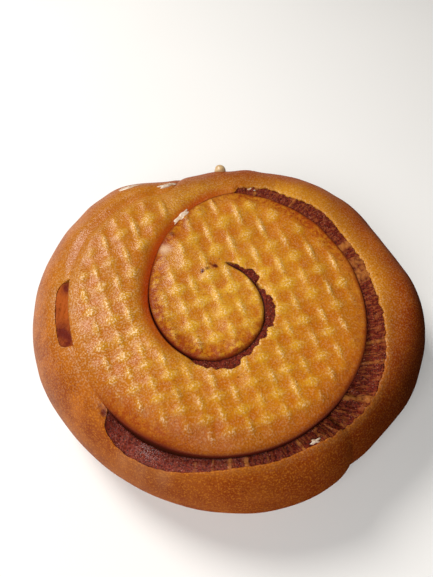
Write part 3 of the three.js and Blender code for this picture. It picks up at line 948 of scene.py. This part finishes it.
def fleck(x, y, heading, length, width, rise, sink):
    """A flat blob of icing: points and faces."""
    turn = np.arange(FLECK_SIDES) / FLECK_SIDES * 2 * np.pi
    angle, reach = np.meshgrid(turn, np.linspace(0, 1, FLECK_RINGS + 1)[1:])
    wobble = 1 + 0.22 * ripple(2 * np.cos(angle) + x, 2 * np.sin(angle) + y, 2.2, 51)
    along = 0.5 * length * reach * wobble * np.cos(angle)
    across = 0.5 * width * reach * wobble * np.sin(angle)
    way = math.radians(heading)
    px = np.concatenate([[x], (x + along * math.cos(way) - across * math.sin(way)).ravel(), [x]])
    py = np.concatenate([[y], (y + along * math.sin(way) + across * math.cos(way)).ravel(), [y]])
    ground = top_height(px, py, beside_seam(px, py)) - sink
    if sink > 0:
        ground = np.minimum(ground, ground[0] + FLECK_CLIMB * np.hypot(px - x, py - y))
    dome = np.concatenate([[1], np.sqrt(1 - reach.ravel() ** 2), [0]])
    lift = rise * (dome * (1 + 0.15 * ripple(px, py, 0.9, 52)) - FLECK_SUNK)
    lift[-1] = -rise
    grid = 1 + np.arange(FLECK_RINGS * FLECK_SIDES).reshape(FLECK_RINGS, FLECK_SIDES)
    right = np.roll(grid, -1, axis=1)
    faces = [[0, a, b] for a, b in zip(grid[0], right[0])]
    faces += ring_quads(grid).tolist()
    faces += [[len(px) - 1, b, a] for a, b in zip(grid[-1], right[-1])]
    return np.stack([px, py, ground + lift], axis=1), faces


def make_flecks():
    points, faces = [], []
    for row in FLECKS:
        spots, sides = fleck(*row)
        first = sum(len(part) for part in points)
        points.append(spots)
        faces += [[first + corner for corner in side] for side in sides]
    return make_mesh("icing_flecks", np.concatenate(points), faces)


class Shading:
    """A new material, and short names for the nodes that its colours are worked out with."""

    def __init__(self, name):
        self.material = bpy.data.materials.new(name)
        self.material.use_nodes = True
        self.tree = self.material.node_tree
        self.shader = self.tree.nodes["Principled BSDF"]
        self.place = self.node("ShaderNodeTexCoord").outputs["Object"]

    def give(self, socket, value):
        """Link a socket to another's output, or set it to a plain value."""
        if isinstance(value, bpy.types.NodeSocket):
            self.tree.links.new(value, socket)
        else:
            socket.default_value = value

    def node(self, kind, inputs=None, **settings):
        made = self.tree.nodes.new(kind)
        for name, value in settings.items():
            setattr(made, name, value)
        for name, value in (inputs or {}).items():
            self.give(made.inputs[name], value)
        return made

    def mask(self, name):
        return self.node("ShaderNodeAttribute", attribute_name=name).outputs["Fac"]

    def noise(self, scale, detail=2.0, roughness=0.5, place=None):
        inputs = {"Vector": place or self.place, "Scale": scale, "Detail": detail, "Roughness": roughness}
        return self.node("ShaderNodeTexNoise", inputs).outputs["Fac"]

    def span(self, value, low, high, to_low=0.0, to_high=1.0):
        inputs = {"Value": value, "From Min": low, "From Max": high, "To Min": to_low, "To Max": to_high}
        return self.node("ShaderNodeMapRange", inputs).outputs["Result"]

    def maths(self, operation, a, b):
        return self.node("ShaderNodeMath", {0: a, 1: b}, operation=operation).outputs[0]

    def plus(self, a, b):
        return self.maths("ADD", a, b)

    def times(self, a, b):
        return self.maths("MULTIPLY", a, b)

    def mix(self, share, a, b):
        return self.node("ShaderNodeMix", {0: share, 6: a, 7: b}, data_type="RGBA").outputs[2]

    def set(self, name, value):
        self.give(self.shader.inputs[name], value)

    def bump(self, height, strength, distance):
        inputs = {"Height": height, "Strength": strength, "Distance": distance * MM}
        normal = self.node("ShaderNodeBump", inputs).outputs["Normal"]
        self.set("Normal", normal)
        self.set("Coat Normal", normal)


def woven_tint(s):
    """Colour of the top: golden bumps and orange dents, the narrow bumps paler, partly as painted highlight.
    """
    clouds = s.span(s.noise(75), 0.35, 0.65)
    colour = s.mix(clouds, AMBER, GOLDEN)
    colour = s.mix(s.times(s.mask("glow"), 0.8), colour, BRIGHT)
    colour = s.mix(s.mask("deepened"), colour, DEEP_AMBER)
    uneven = s.span(s.noise(240), 0.35, 0.62, 0.4, 0.95)
    colour = s.mix(s.times(s.mask("dent"), uneven), colour, DENTED)
    colour = s.mix(s.span(s.mask("broad"), 0.35, 0.95, 0.0, 0.6), colour, STRAW)
    # narrow bumps paler, partly painted highlight
    return s.mix(s.span(s.mask("narrow"), 0.2, 1.0, 0.0, 0.6), colour, BUFF_AND_HIGHLIGHT)


def browned_tint(s, colour):
    """The same with the brown rim, russet and dark sides of a deeper bake with painted shade, painted shade
    in the valleys, and tanned lips.
    """
    uneven = s.span(s.noise(130, 6, 0.7), 0.41, 0.59)
    rim = s.mix(uneven, RUDDY, BROWN)
    colour = s.mix(s.span(s.mask("brown"), 0.1, 1.0, 0.0, 0.95), colour, rim)
    mottled = s.span(s.noise(170, 4, 0.6), 0.38, 0.62, 0.75, 1.0)
    # russet and dark sides: a deeper bake with painted shade
    colour = s.mix(s.times(s.mask("russet"), mottled), colour, RUSSET_BAKE_AND_SHADE)
    colour = s.mix(s.mask("dark"), colour, DARK_BAKE_AND_SHADE)
    # painted shade in the valleys beside a closed seam
    colour = s.mix(s.mask("valley"), colour, RED_ORANGE_SHADE)
    patches = s.span(s.noise(500, 5, 0.8), 0.43, 0.57, 0.1, 1.3)
    colour = s.mix(s.times(s.mask("tan"), patches), colour, ORANGE_BROWN)
    return s.mix(s.times(s.mask("crest"), 0.35), colour, BUFF_AND_HIGHLIGHT)


def glint_share(s):
    """How strongly painted glints of light show: on bumps and the glossy rim, less where the crust is tanned
    and where painted shade lies in a valley.
    """
    broad = s.mask("broad")
    on_rim = s.mask("brown")
    # painted glints of light: on bumps, the torn edge and the glossy rim
    glint = s.plus(s.span(s.mask("narrow"), 0.1, 1.0, 0.1, 0.65), s.span(broad, 0.45, 1.0, 0.0, 0.34))
    painted_sheen = s.times(s.mask("painted_sheen"), s.span(broad, 0.1, 0.7, 0.12, 0.45))
    glint = s.plus(s.plus(glint, painted_sheen), s.times(s.mask("crest"), 0.25))
    tanned_and_shaded = s.maths("MAXIMUM", s.mask("tan"), s.mask("valley"))
    glint = s.times(glint, s.span(tanned_and_shaded, 0.0, 0.8, 1.0, 0.2))
    glint = s.times(glint, s.span(on_rim, 0.4, 1.0, 1.0, 0.12))
    glossy = s.span(s.mask("gloss"), 0.2, 0.36, 0.0, 0.1)
    return s.plus(glint, s.times(glossy, on_rim))


def grained_tint(s, colour, grain):
    """The same with fine painted glints of light, fine grains of shade, and the rim's grain with painted
    glints.
    """
    on_rim = s.mask("brown")
    # painted glints of light in fine dots
    glint_dots = s.span(grain, 0.51, 0.62)
    colour = s.mix(s.times(glint_dots, glint_share(s)), colour, PAINTED_GLINT)
    shade = s.span(s.noise(1900), 0.52, 0.36, 0.0, 0.3)
    shade = s.times(shade, s.span(on_rim, 0.3, 1.0, 1.0, 0.3))
    colour = s.mix(shade, colour, ORANGE_BROWN)
    # the rim's grain, partly painted glints, fewer on its shaded side
    rim_grain_and_glints = s.times(s.span(s.noise(2500), 0.50, 0.68), on_rim)
    rim_grain_and_glints = s.times(rim_grain_and_glints, s.span(s.mask("dark"), 0.0, 0.8, 0.55, 0.12))
    return s.mix(rim_grain_and_glints, colour, RIM_GRAIN_AND_GLINT)


def marked_tint(s, colour):
    """The same with toasted brinks, smears partly of painted sheen, stains, painted shade on the slot's
    sides and burnt specks.
    """
    colour = s.mix(s.times(s.mask("toast"), 0.85), colour, TOASTED)
    # pale smears, partly painted sheen; cinnamon stains; painted shade on the slot's sides
    for name, tint in (("smear_and_sheen", CREAM_AND_SHEEN), ("stain", CINNAMON), ("wall", SLOT_PAINTED_SHADE)):
        colour = s.mix(s.mask(name), colour, tint)
    specks = s.maths("SUBTRACT", s.noise(1700, 1), s.times(s.mask("tan"), 0.05))
    return s.mix(s.span(specks, 0.27, 0.22, 0.0, 0.7), colour, BURNT)


def crust_material():
    s = Shading("baked_crust")
    grain = s.noise(2300, 1)
    colour = browned_tint(s, woven_tint(s))
    colour = marked_tint(s, grained_tint(s, colour, grain))
    s.set("Base Color", colour)
    s.set("Roughness", s.span(s.noise(600), 0.3, 0.7, 0.4, 0.6))
    s.set("Coat Weight", s.mask("gloss"))
    s.set("Coat Roughness", 0.25)
    s.set("Specular IOR Level", 0.0)
    height = s.plus(grain, s.times(s.noise(1000), 0.8))
    height = s.times(height, s.span(s.mask("brown"), 0.3, 1.0, 1.0, 0.45))
    s.bump(height, 0.5, 0.22)
    return s.material


def paste_tint(s):
    """Colour of the filling: grainy dark red, redder where moist, with strands and bridges of dough."""
    fine = s.span(s.noise(2400, 2, 0.6), 0.35, 0.62)
    moist = s.mix(fine, MOIST_DARK, MOIST_RED)
    colour = s.mix(s.mask("moist"), s.mix(fine, PASTE_DARK, PASTE_RED), moist)
    place = {"X": s.mask("leaning"), "Y": s.times(s.mask("across"), 0.25)}
    along_strands = s.node("ShaderNodeCombineXYZ", place).outputs["Vector"]
    strands = s.span(s.noise(2.0, place=along_strands), 0.51, 0.59)
    strands = s.times(strands, s.mask("fibrous"))
    colour = s.mix(s.times(strands, 0.75), colour, STRAND)
    colour = s.mix(s.span(s.mask("bridge"), 0.2, 0.7, 0.0, 0.85), colour, BRIDGE_DOUGH)
    return s.mix(s.span(s.noise(3000, 1), 0.66, 0.74, 0.0, 0.6), colour, SUGAR)


def filling_material():
    s = Shading("cinnamon_paste")
    uneven = s.span(s.noise(450, 3), 0.35, 0.65, 0.5, 1.2)
    bare = s.mix(s.times(s.mask("blotch"), uneven), PASTE_BAKED, PASTE_BLOTCHED)
    colour = s.mix(s.mask("patch"), paste_tint(s), bare)
    # painted shadow along the inner edge, under the inner turn's lip
    s.set("Base Color", s.mix(s.mask("lip_shadow"), colour, PASTE_LIP_SHADOW))
    s.set("Roughness", s.span(s.noise(1500), 0.3, 0.7, 0.35, 0.8))
    s.set("Specular IOR Level", 0.06)
    s.set("Coat Weight", s.plus(s.times(s.mask("moist"), 0.15), s.times(s.mask("wet"), 0.8)))
    s.set("Coat Roughness", 0.2)
    s.bump(s.plus(s.noise(3000, 1), s.noise(1200)), 0.7, 0.3)
    return s.material


def speckled_material(name, colours, speckle, contrast, roughness, grain, bump):
    """A material of two colours in fine speckles, with a slight grain."""
    s = Shading(name)
    s.set("Base Color", s.mix(s.span(s.noise(speckle, 3), *contrast), *colours))
    s.set("Roughness", roughness)
    s.bump(s.noise(grain), bump, 0.1)
    return s.material


def floor_material():
    s = Shading("pale_floor")
    s.set("Base Color", s.mix(s.noise(6), *FLOOR_COLOURS))
    s.set("Roughness", 0.8)
    return s.material


def add_light(name, place, size, power, colour):
    data = bpy.data.lights.new(name, "AREA")
    data.shape = "DISK"
    data.size = size
    data.energy = power
    data.color = colour
    lamp = bpy.data.objects.new(name, data)
    lamp.location = place
    lamp.rotation_euler = (LIGHT_TARGET - lamp.location).to_track_quat("-Z", "Y").to_euler()
    bpy.context.scene.collection.objects.link(lamp)


def make_stage():
    """Pale floor, soft light and world."""
    half = FLOOR_HALF
    corners = [(-half, -half, 0), (half, -half, 0), (half, half, 0), (-half, half, 0)]
    floor = make_mesh("floor", corners, [(0, 1, 2, 3)])
    floor.data.materials.append(floor_material())
    world = bpy.data.worlds.new("soft_room")
    world.use_nodes = True
    background = world.node_tree.nodes["Background"]
    background.inputs["Color"].default_value = WORLD_COLOUR
    background.inputs["Strength"].default_value = WORLD_STRENGTH
    bpy.context.scene.world = world
    for name, settings in LIGHTS.items():
        add_light(name, *settings)
    bpy.context.scene.view_settings.view_transform = "Standard"


def make_camera():
    data = bpy.data.cameras.new("photo_camera")
    data.lens = CAMERA_LENS
    data.sensor_width = SENSOR_WIDTH
    data.clip_start = CLIP_START
    camera = bpy.data.objects.new("photo_camera", data)
    camera.location = Vector(CAMERA_PLACE) * MM
    camera.rotation_euler = (CAMERA_TILT, 0, 0)
    bpy.context.scene.collection.objects.link(camera)
    bpy.context.scene.camera = camera


make_camera()
make_stage()
dough = make_dough()
dough.data.materials.append(crust_material())
filling = make_filling()
filling.data.materials.append(filling_material())
bead = make_bead()
bead.data.materials.append(speckled_material("pale_bead", **BEAD_LOOK))
flecks = make_flecks()
flecks.data.materials.append(speckled_material("white_icing", **ICING_LOOK))
for piece, slot_name in ((dough, "crust"), (filling, "cinnamon"), (bead, "crust"), (flecks, "crust")):
    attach(piece, "root")
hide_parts("dough")
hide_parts("filling")
